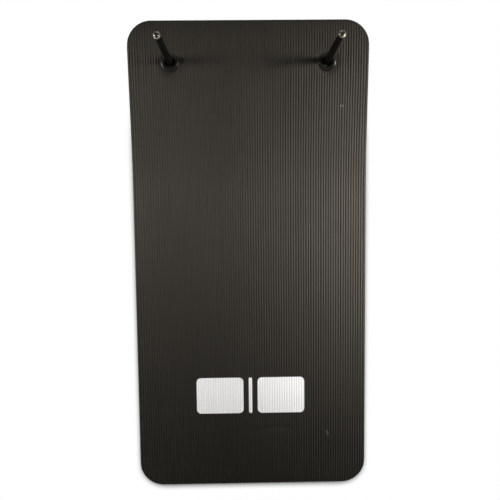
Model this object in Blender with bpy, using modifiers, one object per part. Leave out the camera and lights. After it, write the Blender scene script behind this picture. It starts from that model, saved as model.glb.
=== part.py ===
"""An exercise mat of ribbed foam, hung by two eyelets on the pegs of a flat wall rail.

Metres, +Z up. The origin is the centre of the rail's back face, where it meets the wall.
The pegs stick out along -Y, towards the viewer, and +X is the viewer's right.
"""

import math

import bmesh
import bpy

# Foam mat: 24 by 48 inches, half an inch thick
MAT_WIDTH = 0.6096
MAT_LENGTH = 1.2192
MAT_THICKNESS = 0.0127
MAT_CORNER_RADIUS = 0.062
RIB_PITCH = 0.00663
RIB_DEPTH = 0.0009
RIB_GROOVE_WIDTH = 0.0024

# How the mat hangs: its lower part lies by the wall, its top is held out by the rail
MAT_WALL_GAP = 0.0015
BEND_LENGTH = 0.420
BEND_STEPS = 7
EYELET_STANDOFF = 0.0035
HANG_GAP = 0.0003

# Eyelets, clamped through the foam
EYELET_SIDE_INSET = 0.1056
EYELET_DROP = 0.102
EYELET_BORE_RADIUS = 0.0127
EYELET_FLANGE_RADIUS = 0.0235
EYELET_BARREL_WALL = 0.0016
EYELET_DOME_HEIGHT = 0.003
EYELET_SINK = 0.002
EYELET_RING_THICKNESS = 0.0016
EYELET_RING_CHAMFER = 0.0008
EYELET_LIP_WIDTH = 0.0019
EYELET_LIP_THICKNESS = 0.0009
EYELET_DOME_STEPS = 8

# Wall rail: a box tube, 1 by 2 inches, that runs on a little past each peg
RAIL_PAST_PEG = 0.0548
RAIL_DEPTH = 0.0254
RAIL_HEIGHT = 0.0508
RAIL_WALL = 0.003
RAIL_CORNER_RADIUS = 0.004
RAIL_INNER_RADIUS = 0.001
SCREW_HOLE_RADIUS = 0.0033
SCREW_ACCESS_RADIUS = 0.0065
SCREW_END_INSET = 0.022
SCREW_INNER_SPACING = 0.160

# End caps of the rail
CAP_THICKNESS = 0.0025
CAP_SPIGOT_LENGTH = 0.012
CAP_SPIGOT_WALL = 0.002

# Pegs: a tube with a bright end bush and a domed plug, held by a screw from behind
PEG_REACH = 0.225
PEG_RADIUS = 0.008
PEG_WALL = 0.0015
PEG_EDGE_CHAMFER = 0.0003
INSERT_LENGTH = 0.022
FERRULE_RIM_LENGTH = 0.004
FERRULE_SPIGOT_LENGTH = 0.009
FERRULE_EDGE_RADIUS = 0.0012
FERRULE_EDGE_STEPS = 3
FERRULE_BORE_RADIUS = 0.0042
PLUG_HEAD_RADIUS = 0.0062
PLUG_DOME_HEIGHT = 0.0033
PLUG_STEM_LENGTH = 0.008
PLUG_DOME_STEPS = 6
BOLT_RADIUS = 0.003
BOLT_LENGTH = 0.020
BOLT_HEAD_RADIUS = 0.0052
BOLT_TIP_CHAMFER = 0.0007
BOLT_SOCKET_RADIUS = 0.0022
BOLT_SOCKET_DEPTH = 0.0018

# Air between pieces that touch, and how far a cutter runs past what it cuts
SEAT_GAP = 0.0003
FOAM_GAP = 0.0005
OVERRUN = 0.005
WELD_DISTANCE = 0.00001

# Facets
CORNER_STEPS = 6
RAIL_CORNER_STEPS = 3
ROUND_SIDES = 32
SMALL_SIDES = 20
HEX_SIDES = 6

# Places that follow from the sizes above
PEG_X = MAT_WIDTH / 2 - EYELET_SIDE_INSET
RAIL_LENGTH = 2 * (PEG_X + RAIL_PAST_PEG)
RAIL_FRONT = -RAIL_DEPTH
PEG_BACK = -(RAIL_WALL + SEAT_GAP)
PEG_FRONT = RAIL_FRONT - PEG_REACH
PEG_BORE_RADIUS = PEG_RADIUS - PEG_WALL
FERRULE_BACK = PEG_FRONT + FERRULE_RIM_LENGTH
BARREL_RADIUS = EYELET_BORE_RADIUS + EYELET_BARREL_WALL
FACING_FRONT = math.radians(90)


def smooth_step(share):
    """Rises from 0 to 1 with level ends, as the foam eases into its bend and out of it."""
    share = min(max(share, 0.0), 1.0)
    return share * share * (3 - 2 * share)


def smooth_slope(share):
    """The slope of smooth_step."""
    return 6 * share * (1 - share)


EYELET_BEND_SHARE = 1 - EYELET_DROP / BEND_LENGTH
EYELET_REACH = RAIL_DEPTH + EYELET_STANDOFF - MAT_WALL_GAP
TOP_REACH = EYELET_REACH / smooth_step(EYELET_BEND_SHARE)
EYELET_LEAN = math.atan(TOP_REACH * smooth_slope(EYELET_BEND_SHARE) / BEND_LENGTH)

SEAT_HEIGHT = MAT_THICKNESS / 2 - EYELET_SINK + SEAT_GAP
EYELET_FRONT_HEIGHT = SEAT_HEIGHT + EYELET_DOME_HEIGHT
EYELET_Z = (PEG_RADIUS + HANG_GAP - EYELET_BORE_RADIUS * math.cos(EYELET_LEAN)
            + EYELET_FRONT_HEIGHT * math.sin(EYELET_LEAN))
EYELET_Y = RAIL_FRONT - EYELET_STANDOFF - MAT_THICKNESS / 2
MAT_TOP = EYELET_Z + EYELET_DROP
MAT_BOTTOM = MAT_TOP - MAT_LENGTH


def clear_scene():
    for obj in list(bpy.data.objects):
        bpy.data.objects.remove(obj, do_unlink=True)


def make_collection(name):
    collection = bpy.data.collections.new(name)
    bpy.context.scene.collection.children.link(collection)
    return collection


def make_material(name, colour, roughness, metallic=0.0):
    material = bpy.data.materials.new(name)
    material.use_nodes = True
    shader = material.node_tree.nodes["Principled BSDF"]
    shader.inputs["Base Color"].default_value = (*colour, 1.0)
    shader.inputs["Roughness"].default_value = roughness
    shader.inputs["Metallic"].default_value = metallic
    return material


def foam_material():
    return make_material("black_foam", (0.048, 0.044, 0.036), 0.8)


def enamel_material():
    return make_material("black_enamel", (0.012, 0.011, 0.010), 0.18)


def coated_steel_material():
    return make_material("black_coated_steel", (0.014, 0.013, 0.010), 0.42)


def bright_steel_material():
    return make_material("bright_steel", (0.62, 0.59, 0.52), 0.25, 1.0)


def plug_material():
    return make_material("gloss_black_plastic", (0.010, 0.010, 0.009), 0.12)


def cap_material():
    return make_material("matt_black_plastic", (0.020, 0.020, 0.019), 0.55)


def screw_material():
    return make_material("zinc_plated_steel", (0.55, 0.55, 0.53), 0.35, 1.0)


def new_object(name, data, collection, location=(0, 0, 0), rotation=(0, 0, 0)):
    obj = bpy.data.objects.new(name, data)
    obj.location = location
    obj.rotation_euler = rotation
    collection.objects.link(obj)
    return obj


def finish_part(obj, material, parent):
    """Gives a sub-part its material and hangs it on its parent without moving it."""
    obj.data.materials.clear()
    obj.data.materials.append(material)
    bpy.context.view_layer.update()
    obj.parent = parent
    obj.matrix_parent_inverse = parent.matrix_world.inverted()
    return obj


def as_cutter(obj):
    obj.hide_render = True
    obj.display_type = 'WIRE'
    return obj


def add_boolean(obj, other, operation):
    boolean = obj.modifiers.new(operation.lower() + "_" + other.name, 'BOOLEAN')
    boolean.operation = operation
    boolean.object = other
    boolean.solver = 'EXACT'


def turned(name, profile, closed, sides, collection, location, rotation):
    """Turns an outline of (radius, height) points about the object's own Z axis.

    The outline runs down its outer side. A closed one makes a ring, an open one
    starts and ends on the axis and makes a solid plug.
    """
    count = len(profile)
    edge_count = count if closed else count - 1
    edges = [(i, (i + 1) % count) for i in range(edge_count)]
    mesh = bpy.data.meshes.new(name)
    mesh.from_pydata([(radius, 0.0, height) for radius, height in profile], edges, [])
    obj = new_object(name, mesh, collection, location, rotation)
    screw = obj.modifiers.new("turn", 'SCREW')
    screw.axis = 'Z'
    screw.steps = sides
    screw.render_steps = sides
    screw.use_merge_vertices = True
    screw.merge_threshold = WELD_DISTANCE
    screw.use_smooth_shade = True
    return obj


def round_cutter(name, radius, sides, back, front, x, collection):
    """A cylinder along Y, level with the pegs, from its back end to its front end."""
    bpy.ops.mesh.primitive_cylinder_add(
        vertices=sides, radius=radius, depth=back - front,
        location=(x, (back + front) / 2, 0), rotation=(FACING_FRONT, 0, 0))
    cutter = bpy.context.object
    cutter.name = name
    for owner in list(cutter.users_collection):
        owner.objects.unlink(cutter)
    collection.objects.link(cutter)
    return as_cutter(cutter)


def rounded_outline(width, height, radius, steps):
    """Points round a rectangle with round corners, counter-clockwise from its right side."""
    points = []
    for quarter in range(4):
        side_x = 1 if quarter in (0, 3) else -1
        side_y = 1 if quarter in (0, 1) else -1
        centre_x = side_x * (width / 2 - radius)
        centre_y = side_y * (height / 2 - radius)
        for step in range(steps + 1):
            angle = math.radians(90) * (quarter + step / steps)
            points.append((centre_x + radius * math.cos(angle),
                           centre_y + radius * math.sin(angle)))
    return points


def extruded(name, outlines, thickness, collection, location, rotation):
    """A flat shape of one or more closed outlines, made a welded mesh that can be cut."""
    curve = bpy.data.curves.new(name + "_outline", 'CURVE')
    curve.dimensions = '2D'
    curve.fill_mode = 'BOTH'
    curve.extrude = thickness / 2
    for outline in outlines:
        spline = curve.splines.new('POLY')
        spline.points.add(len(outline) - 1)
        for point, (x, y) in zip(spline.points, outline):
            point.co = (x, y, 0, 1)
        spline.use_cyclic_u = True
    flat = new_object(name + "_outline", curve, collection, location, rotation)
    bpy.context.view_layer.update()
    evaluated = flat.evaluated_get(bpy.context.evaluated_depsgraph_get())
    mesh = bpy.data.meshes.new_from_object(evaluated)
    mesh.name = name
    welded = bmesh.new()
    welded.from_mesh(mesh)
    bmesh.ops.remove_doubles(welded, verts=welded.verts, dist=WELD_DISTANCE)
    bmesh.ops.recalc_face_normals(welded, faces=welded.faces)
    welded.to_mesh(mesh)
    welded.free()
    solid = new_object(name, mesh, collection)
    solid.matrix_world = flat.matrix_world.copy()
    bpy.data.objects.remove(flat, do_unlink=True)
    bpy.data.curves.remove(curve)
    return solid


def rib_section():
    """The mat's cross-section: ribs along the front edge, a plain back edge."""
    count = max(round(MAT_WIDTH / RIB_PITCH), 1)
    pitch = MAT_WIDTH / count
    half = MAT_THICKNESS / 2
    left = -MAT_WIDTH / 2
    points = [(left, half), (left, -half)]
    for rib in range(1, count):
        groove = left + rib * pitch
        points.append((groove - RIB_GROOVE_WIDTH / 2, -half))
        points.append((groove, -half + RIB_DEPTH))
        points.append((groove + RIB_GROOVE_WIDTH / 2, -half))
    points += [(-left, -half), (-left, half)]
    return points


def mat_reach(height):
    """How far the hanging mat is held forward of its lower part, at a height."""
    return TOP_REACH * smooth_step(1 - (MAT_TOP - height) / BEND_LENGTH)


def mat_blank(collection):
    """The ribbed slab, extruded upwards from its foot and eased forward in its bend."""
    rest_y = -MAT_WALL_GAP - MAT_THICKNESS / 2
    bend_start = MAT_TOP - BEND_LENGTH
    heights = [bend_start + BEND_LENGTH * step / BEND_STEPS for step in range(BEND_STEPS + 1)]
    solid = bmesh.new()
    foot = [solid.verts.new((x, rest_y + y, MAT_BOTTOM)) for x, y in rib_section()]
    face = solid.faces.new(foot)
    height_before = MAT_BOTTOM
    for height in heights:
        lift = height - height_before
        forward = mat_reach(height) - mat_reach(height_before)
        grown = bmesh.ops.extrude_face_region(solid, geom=[face])["geom"]
        raised = [item for item in grown if isinstance(item, bmesh.types.BMVert)]
        if height_before > MAT_BOTTOM:
            solid.faces.remove(face)
        face = next(item for item in grown if isinstance(item, bmesh.types.BMFace))
        bmesh.ops.translate(solid, verts=raised, vec=(0, -forward, lift))
        height_before = height
    bmesh.ops.recalc_face_normals(solid, faces=solid.faces)
    mesh = bpy.data.meshes.new("foam_mat")
    solid.to_mesh(mesh)
    solid.free()
    return new_object("foam_mat", mesh, collection)


def mat_outline_cutter(cutters):
    """A block with the mat's outline and round corners, deep enough for the whole bend."""
    outline = rounded_outline(MAT_WIDTH, MAT_LENGTH, MAT_CORNER_RADIUS, CORNER_STEPS)
    depth = MAT_WALL_GAP + MAT_THICKNESS + TOP_REACH + 2 * OVERRUN
    centre = (0, OVERRUN - depth / 2, (MAT_TOP + MAT_BOTTOM) / 2)
    block = extruded("mat_outline", [outline], depth, cutters, centre, (FACING_FRONT, 0, 0))
    return as_cutter(block)


def eyelet_place(side):
    """Where an eyelet's centre lies, and how it leans with the foam."""
    location = (side * PEG_X, EYELET_Y, EYELET_Z)
    rotation = (FACING_FRONT + EYELET_LEAN, 0, 0)
    return location, rotation


def eyelet_seat_cutter(side, name, cutters):
    """The hole in the foam for the barrel, with a shallow pocket for each flange."""
    hole = BARREL_RADIUS + SEAT_GAP
    pocket = EYELET_FLANGE_RADIUS + FOAM_GAP
    floor = MAT_THICKNESS / 2 - EYELET_SINK
    outside = MAT_THICKNESS / 2 + OVERRUN
    profile = [(0, outside), (pocket, outside), (pocket, floor), (hole, floor),
               (hole, -floor), (pocket, -floor), (pocket, -outside), (0, -outside)]
    location, rotation = eyelet_place(side)
    cutter = turned(name, profile, False, ROUND_SIDES, cutters, location, rotation)
    return as_cutter(cutter)


def make_foam_mat(parts, cutters, material, parent):
    mat = mat_blank(parts)
    add_boolean(mat, mat_outline_cutter(cutters), 'INTERSECT')
    for side, word in ((-1, "left"), (1, "right")):
        add_boolean(mat, eyelet_seat_cutter(side, word + "_eyelet_seat", cutters), 'DIFFERENCE')
    return finish_part(mat, material, parent)


def make_eyelet_front(side, word, parts, material, parent):
    """Domed flange, the barrel through the foam, and the lip rolled over the back ring."""
    ring_middle = (EYELET_FLANGE_RADIUS + EYELET_BORE_RADIUS) / 2
    ring_half = (EYELET_FLANGE_RADIUS - EYELET_BORE_RADIUS) / 2
    profile = []
    for step in range(EYELET_DOME_STEPS + 1):
        angle = math.pi * (1 - step / EYELET_DOME_STEPS)
        profile.append((ring_middle + ring_half * math.cos(angle),
                        SEAT_HEIGHT + EYELET_DOME_HEIGHT * math.sin(angle)))
    lip_top = -(SEAT_HEIGHT + EYELET_RING_THICKNESS + SEAT_GAP)
    lip_bottom = lip_top - EYELET_LIP_THICKNESS
    lip_radius = BARREL_RADIUS + EYELET_LIP_WIDTH
    profile += [(BARREL_RADIUS, SEAT_HEIGHT), (BARREL_RADIUS, lip_top), (lip_radius, lip_top),
                (lip_radius - EYELET_LIP_THICKNESS / 2, lip_bottom),
                (EYELET_BORE_RADIUS + EYELET_LIP_THICKNESS / 2, lip_bottom),
                (EYELET_BORE_RADIUS, lip_top)]
    location, rotation = eyelet_place(side)
    eyelet = turned(word + "_eyelet_front", profile, True, ROUND_SIDES, parts, location, rotation)
    return finish_part(eyelet, material, parent)


def make_eyelet_back(side, word, parts, material, parent):
    """The ring behind the foam that the barrel's lip holds."""
    hole = BARREL_RADIUS + SEAT_GAP
    bottom = -(SEAT_HEIGHT + EYELET_RING_THICKNESS)
    profile = [(hole, -SEAT_HEIGHT), (EYELET_FLANGE_RADIUS, -SEAT_HEIGHT),
               (EYELET_FLANGE_RADIUS, bottom + EYELET_RING_CHAMFER),
               (EYELET_FLANGE_RADIUS - EYELET_RING_CHAMFER, bottom), (hole, bottom)]
    location, rotation = eyelet_place(side)
    ring = turned(word + "_eyelet_back", profile, True, ROUND_SIDES, parts, location, rotation)
    return finish_part(ring, material, parent)


def rail_section(shrink):
    """The outline of the rail, or of what lies a given depth inside it."""
    radius = max(RAIL_CORNER_RADIUS - shrink, RAIL_INNER_RADIUS)
    return rounded_outline(RAIL_DEPTH - 2 * shrink, RAIL_HEIGHT - 2 * shrink,
                           radius, RAIL_CORNER_STEPS)


def screw_places():
    """Where the rail is screwed to the wall, along its length."""
    end = RAIL_LENGTH / 2 - SCREW_END_INSET
    inner = SCREW_INNER_SPACING / 2
    return [-end, -inner, inner, end]


def rail_cutter(name, profile, x, cutters):
    """A round cutter through the rail, its outline heights measured from the rail's back face."""
    cutter = turned(name, profile, False, ROUND_SIDES, cutters, (x, 0, 0),
                    (-FACING_FRONT, 0, 0))
    return as_cutter(cutter)


def peg_cutter(side, name, cutters):
    """The countersink and shank hole in the back wall, and the peg's hole in the front wall."""
    shank = BOLT_RADIUS + SEAT_GAP
    mouth = BOLT_HEAD_RADIUS + 2 * SEAT_GAP
    peg = PEG_RADIUS + SEAT_GAP
    middle = RAIL_FRONT / 2
    before = RAIL_FRONT - OVERRUN
    profile = [(0, OVERRUN), (mouth, OVERRUN), (mouth, 0), (shank, shank - mouth),
               (shank, middle), (peg, middle), (peg, before), (0, before)]
    return rail_cutter(name, profile, side * PEG_X, cutters)


def wall_screw_cutter(x, name, cutters):
    """A wall screw's hole in the back wall, and the wider way in through the front wall."""
    middle = RAIL_FRONT / 2
    before = RAIL_FRONT - OVERRUN
    profile = [(0, OVERRUN), (SCREW_HOLE_RADIUS, OVERRUN), (SCREW_HOLE_RADIUS, middle),
               (SCREW_ACCESS_RADIUS, middle), (SCREW_ACCESS_RADIUS, before), (0, before)]
    return rail_cutter(name, profile, x, cutters)


def make_wall_rail(parts, cutters, material, parent):
    """Box tube along X with holes for the pegs, their screws and the wall screws."""
    sections = [rail_section(0), rail_section(RAIL_WALL)]
    rail = extruded("wall_rail", sections, RAIL_LENGTH, parts,
                    (0, RAIL_FRONT / 2, 0), (FACING_FRONT, 0, FACING_FRONT))
    for side, word in ((-1, "left"), (1, "right")):
        add_boolean(rail, peg_cutter(side, word + "_peg_holes", cutters), 'DIFFERENCE')
    for number, x in enumerate(screw_places(), start=1):
        holes = wall_screw_cutter(x, f"wall_screw_holes_{number}", cutters)
        add_boolean(rail, holes, 'DIFFERENCE')
    return finish_part(rail, material, parent)


def make_rail_cap(side, word, parts, cutters, material, parent):
    """End cap: a plate over the rail's end and a hollow spigot inside it."""
    spigot_outside = RAIL_WALL + SEAT_GAP
    spigot_inside = spigot_outside + CAP_SPIGOT_WALL
    turn = (FACING_FRONT, 0, FACING_FRONT)
    plate_x = side * (RAIL_LENGTH / 2 + SEAT_GAP + CAP_THICKNESS / 2)
    cap = extruded(word + "_rail_cap", [rail_section(0)], CAP_THICKNESS, parts,
                   (plate_x, RAIL_FRONT / 2, 0), turn)
    overlap = CAP_THICKNESS / 2
    length = CAP_SPIGOT_LENGTH + SEAT_GAP + overlap
    spigot_x = plate_x - side * length / 2
    spigot = extruded(word + "_cap_spigot",
                      [rail_section(spigot_outside), rail_section(spigot_inside)],
                      length, cutters, (spigot_x, RAIL_FRONT / 2, 0), turn)
    add_boolean(cap, as_cutter(spigot), 'UNION')
    return finish_part(cap, material, parent)


def peg_turned(name, profile, closed, sides, side, parts):
    """A turned piece of a peg, whose outline heights are distances in front of the wall."""
    return turned(name, profile, closed, sides, parts, (side * PEG_X, 0, 0),
                  (FACING_FRONT, 0, 0))


def make_peg_tube(side, word, parts, material, parent):
    front = -FERRULE_BACK - SEAT_GAP
    back = -PEG_BACK
    chamfer = PEG_EDGE_CHAMFER
    profile = [(PEG_BORE_RADIUS, front), (PEG_RADIUS - chamfer, front),
               (PEG_RADIUS, front - chamfer), (PEG_RADIUS, back + chamfer),
               (PEG_RADIUS - chamfer, back), (PEG_BORE_RADIUS, back)]
    tube = peg_turned(word + "_peg_tube", profile, True, ROUND_SIDES, side, parts)
    return finish_part(tube, material, parent)


def make_peg_ferrule(side, word, parts, material, parent):
    """The bright bush in the tube's front end, with a round edge on its rim."""
    front = -PEG_FRONT
    rim_back = -FERRULE_BACK
    spigot_radius = PEG_BORE_RADIUS - SEAT_GAP
    spigot_back = rim_back - FERRULE_SPIGOT_LENGTH
    edge = FERRULE_EDGE_RADIUS
    profile = [(FERRULE_BORE_RADIUS, front)]
    for step in range(FERRULE_EDGE_STEPS + 1):
        angle = math.radians(90) * (1 - step / FERRULE_EDGE_STEPS)
        profile.append((PEG_RADIUS - edge + edge * math.cos(angle),
                        front - edge + edge * math.sin(angle)))
    profile += [(PEG_RADIUS, rim_back), (spigot_radius, rim_back),
                (spigot_radius, spigot_back), (FERRULE_BORE_RADIUS, spigot_back)]
    ferrule = peg_turned(word + "_peg_ferrule", profile, True, ROUND_SIDES, side, parts)
    return finish_part(ferrule, material, parent)


def make_peg_plug(side, word, parts, material, parent):
    """The domed plug on the bush's front face, with a stem in its bore."""
    seat = -PEG_FRONT + SEAT_GAP
    stem_radius = FERRULE_BORE_RADIUS - SEAT_GAP
    profile = []
    for step in range(PLUG_DOME_STEPS + 1):
        angle = math.radians(90) * (1 - step / PLUG_DOME_STEPS)
        profile.append((PLUG_HEAD_RADIUS * math.cos(angle),
                        seat + PLUG_DOME_HEIGHT * math.sin(angle)))
    profile += [(stem_radius, seat), (stem_radius, seat - PLUG_STEM_LENGTH),
                (0, seat - PLUG_STEM_LENGTH)]
    plug = peg_turned(word + "_peg_plug", profile, False, ROUND_SIDES, side, parts)
    return finish_part(plug, material, parent)


def make_peg_insert(side, word, parts, material, parent):
    """The threaded bush in the tube's back end that the screw pulls on."""
    outer = PEG_BORE_RADIUS - SEAT_GAP
    inner = BOLT_RADIUS + SEAT_GAP
    back = -PEG_BACK
    front = back + INSERT_LENGTH
    profile = [(inner, front), (outer, front), (outer, back), (inner, back)]
    insert = peg_turned(word + "_peg_insert", profile, True, SMALL_SIDES, side, parts)
    return finish_part(insert, material, parent)


def make_peg_screw(side, word, parts, cutters, material, parent):
    """Countersunk socket screw, its head just below the rail's back face."""
    head_back = SEAT_GAP
    head_front = head_back + BOLT_HEAD_RADIUS - BOLT_RADIUS
    tip = head_back + BOLT_LENGTH
    chamfer = BOLT_TIP_CHAMFER
    profile = [(0, tip), (BOLT_RADIUS - chamfer, tip), (BOLT_RADIUS, tip - chamfer),
               (BOLT_RADIUS, head_front), (BOLT_HEAD_RADIUS, head_back), (0, head_back)]
    screw = peg_turned(word + "_peg_screw", profile, False, SMALL_SIDES, side, parts)
    socket = round_cutter(word + "_screw_socket", BOLT_SOCKET_RADIUS, HEX_SIDES, OVERRUN,
                          -head_back - BOLT_SOCKET_DEPTH, side * PEG_X, cutters)
    add_boolean(screw, socket, 'DIFFERENCE')
    return finish_part(screw, material, parent)


def make_rack(parts, cutters, parent):
    """The rail on the wall and all that is fixed to it."""
    coated = coated_steel_material()
    bright = bright_steel_material()
    plug = plug_material()
    zinc = screw_material()
    cap = cap_material()
    make_wall_rail(parts, cutters, coated, parent)
    for side, word in ((-1, "left"), (1, "right")):
        make_rail_cap(side, word, parts, cutters, cap, parent)
        make_peg_tube(side, word, parts, coated, parent)
        make_peg_ferrule(side, word, parts, bright, parent)
        make_peg_plug(side, word, parts, plug, parent)
        make_peg_insert(side, word, parts, zinc, parent)
        make_peg_screw(side, word, parts, cutters, zinc, parent)


def make_hanging_mat(parts, cutters, parent):
    """The foam and the eyelets clamped in it, which slide off the pegs together."""
    enamel = enamel_material()
    make_foam_mat(parts, cutters, foam_material(), parent)
    for side, word in ((-1, "left"), (1, "right")):
        make_eyelet_front(side, word, parts, enamel, parent)
        make_eyelet_back(side, word, parts, enamel, parent)


def main():
    clear_scene()
    parts = make_collection("exercise_mat")
    cutters = make_collection("cutters")
    rack_root = new_object("rack_root", None, parts)
    mat_slide = new_object("mat_slide", None, parts, (0, RAIL_FRONT, 0))
    bpy.context.view_layer.update()
    make_rack(parts, cutters, rack_root)
    make_hanging_mat(parts, cutters, mat_slide)
    bpy.context.view_layer.update()


main()
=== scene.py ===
"""The looks of a ribbed foam exercise mat that hangs by two eyelets on the pegs of a wall rail.

Metres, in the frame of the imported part: +Z is up, the pegs and the ribbed face point along -Y,
and the wall is at y = 0.
"""

import math

import bmesh
import bpy
import numpy as np
from mathutils import Matrix, Vector


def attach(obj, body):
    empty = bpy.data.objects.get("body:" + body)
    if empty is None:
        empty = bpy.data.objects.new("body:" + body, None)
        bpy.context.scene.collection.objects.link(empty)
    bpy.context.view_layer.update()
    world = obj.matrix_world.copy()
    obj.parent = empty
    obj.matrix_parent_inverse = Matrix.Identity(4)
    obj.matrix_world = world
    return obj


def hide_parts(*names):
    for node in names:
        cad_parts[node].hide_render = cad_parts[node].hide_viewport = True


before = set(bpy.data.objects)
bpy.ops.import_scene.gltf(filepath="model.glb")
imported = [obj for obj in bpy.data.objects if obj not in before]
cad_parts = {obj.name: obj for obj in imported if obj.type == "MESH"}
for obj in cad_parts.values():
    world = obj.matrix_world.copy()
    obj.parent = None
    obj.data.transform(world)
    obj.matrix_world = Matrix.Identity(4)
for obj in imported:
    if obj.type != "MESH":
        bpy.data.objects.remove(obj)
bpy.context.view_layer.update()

MAT_BODY = "hanging_mat"
RACK_BODY = "wall_rack"
SIDES = ((-1, "left"), (1, "right"))

# Foam mat
MAT_WIDTH = 0.6096
MAT_LENGTH = 1.2192
MAT_THICKNESS = 0.0127
MAT_CORNER_RADIUS = 0.062
MAT_EDGE_RADIUS = 0.0011
MAT_WALL_GAP = 0.0015
BEND_LENGTH = 0.420
RIB_COUNT = 92
RIB_DEPTH = 0.0009
RIB_STEPS = 8
RIB_CREST_POWER = 2.0
RIB_VARIATION = 0.20
RIB_SEED = 7
PRESSED_RIB_SHARE = 0.25
CREASE_X = 0.069
CREASE_Z = -0.9695
CREASE_HALF_LENGTH = 0.062
CREASE_SAG = 0.014
CREASE_DEPTH = 0.0014
CREASE_WIDTH_ABOVE = 0.0026
CREASE_WIDTH_BELOW = 0.0085
CREASE_ZONE = 0.026
EYELET_ZONE = 0.040
SWELL_HEIGHT = 0.0004
SWELL_RADIUS = 0.040
SWELL_WIDTH = 0.007

# Rows of points from the foot up: below the crease, across it, up to the bend, up to the eyelets,
# across them, and above them
MAT_ROWS = (7, 26, 12, 14, 28, 7)

# The rounded edge: its turns in degrees from the ribbed face and on to the back, and the rows of
# points between them, as shares of the cut face
FRONT_EDGE_TURNS = (35, 65, 90)
CUT_FACE_SHARES = (0.35, 0.7)
BACK_EDGE_TURNS = (90, 55, 25, 0)

# Eyelets
EYELET_DROP = 0.102
EYELET_SIDE_INSET = 0.1056
EYELET_STANDOFF = 0.0035
EYELET_BORE_RADIUS = 0.0127
EYELET_FLANGE_RADIUS = 0.0235
EYELET_BARREL_WALL = 0.0016
EYELET_DOME_HEIGHT = 0.003
EYELET_SINK = 0.002
EYELET_RING_THICKNESS = 0.0016
EYELET_LIP_WIDTH = 0.0019
EYELET_LIP_THICKNESS = 0.0009
EYELET_DOME_STEPS = 28
EYELET_LIP_STEPS = 12
BARREL_ROOT_BEVEL = 0.0004
RING_EDGE_RADIUS = 0.0009
RING_EDGE_STEPS = 5
RING_BORE_BEVEL = 0.0002
HANG_GAP = 0.0003
SEAT_GAP = 0.0003
PINCH_START = 0.0243
PINCH_END = 0.036

# Rail and pegs
RAIL_DEPTH = 0.0254
RAIL_WALL = 0.003
PEG_REACH = 0.225
PEG_RADIUS = 0.008
PEG_WALL = 0.0015
PEG_EDGE_BEVEL = 0.0003
PEG_ROWS = 25
FERRULE_RIM_LENGTH = 0.004
FERRULE_SPIGOT_LENGTH = 0.009
FERRULE_BORE_RADIUS = 0.0042
FERRULE_EDGE_RADIUS = 0.0012
FERRULE_EDGE_STEPS = 8
FERRULE_NECK_DEPTH = 0.0003
FERRULE_NECK_LENGTH = 0.0007
FERRULE_NECK_SHOULDER = 0.0009
PLUG_RIM_GAP = 0.00025
PLUG_HEAD_RADIUS = 0.0062
PLUG_DOME_HEIGHT = 0.0031
PLUG_DOME_POWER = 3.2
PLUG_DOME_STEPS = 24
PLUG_REFRACTION = 2.0
PLUG_STEM_LENGTH = 0.008
PLUG_STEM_BEVEL = 0.0006

# Turned pieces: facets, the angle in degrees past which shading breaks, and when two points are one
TURNED_SIDES = 96
BORE_SIDES = 64
TURNED_CREASE = 32
FERRULE_CREASE = 25
WELD_DISTANCE = 1e-7

# The photo's camera, fitted to the mat's outline and the pegs
CAMERA_PLACE = (-0.02165, -1.45513, -0.36754)
CAMERA_YAW = math.radians(0.8105)
CAMERA_PITCH = math.radians(4.5290)
CAMERA_ROLL = math.radians(-0.6315)
FOCAL_PIXELS = 547.20
PHOTO_PIXELS = 500.0
SENSOR_WIDTH = 36.0
CLIP_START = 0.05
CLIP_END = 50.0

# Studio
STUDIO_WHITE = (1.0, 0.985, 0.96)
TOP_LAMP_WARM = (1.0, 0.94, 0.82)
ROOM_COLOUR = (1.0, 0.985, 0.95, 1.0)
ROOM_STRENGTH = 0.07
FLOOR_LEVEL = -1.30
FLOOR_HALF_WIDTH = 4.0

# Where the floor's shadow is kept: its middle, its depth as a share of its width, and where it fades
# to white, starting from how white
FLOOR_SHADE_Y = -0.18
FLOOR_SHADE_STRETCH = 0.8
FLOOR_SHADE_START = 0.12
FLOOR_SHADE_END = 0.46
FLOOR_LEAST_WHITE = 0.55

# How far the mat's shadow reaches over the wall, which way it leans and how dark it gets
WALL_SHADE_REACH = 0.028
WALL_SHADE_LEAN = (0.0, -0.75, 0.66)
WALL_SHADE_LOW = 0.50
WALL_SHADE_HIGH = 0.88
WALL_SHADE_SAMPLES = 16
WALL_SHADE = (0.03, 0.03, 0.03)
WALL_WHITE = (1.0, 1.0, 1.0)
WALL_MARGIN = 0.12
WALL_BACK = 0.0006


def smooth_step(share):
    share = np.clip(share, 0.0, 1.0)
    return share * share * (3 - 2 * share)


PEG_X = MAT_WIDTH / 2 - EYELET_SIDE_INSET
EYELET_BEND_SHARE = 1 - EYELET_DROP / BEND_LENGTH
EYELET_REACH = RAIL_DEPTH + EYELET_STANDOFF - MAT_WALL_GAP
TOP_REACH = EYELET_REACH / float(smooth_step(EYELET_BEND_SHARE))
EYELET_LEAN = math.atan(TOP_REACH * 6 * EYELET_BEND_SHARE * (1 - EYELET_BEND_SHARE) / BEND_LENGTH)
SEAT_HEIGHT = MAT_THICKNESS / 2 - EYELET_SINK + SEAT_GAP
EYELET_FRONT_HEIGHT = SEAT_HEIGHT + EYELET_DOME_HEIGHT
EYELET_Z = (PEG_RADIUS + HANG_GAP - EYELET_BORE_RADIUS * math.cos(EYELET_LEAN)
            + EYELET_FRONT_HEIGHT * math.sin(EYELET_LEAN))
EYELET_Y = -RAIL_DEPTH - EYELET_STANDOFF - MAT_THICKNESS / 2
MAT_TOP = EYELET_Z + EYELET_DROP
MAT_BOTTOM = MAT_TOP - MAT_LENGTH
BARREL_RADIUS = EYELET_BORE_RADIUS + EYELET_BARREL_WALL
PEG_FRONT = RAIL_DEPTH + PEG_REACH


# Node helpers


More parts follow.
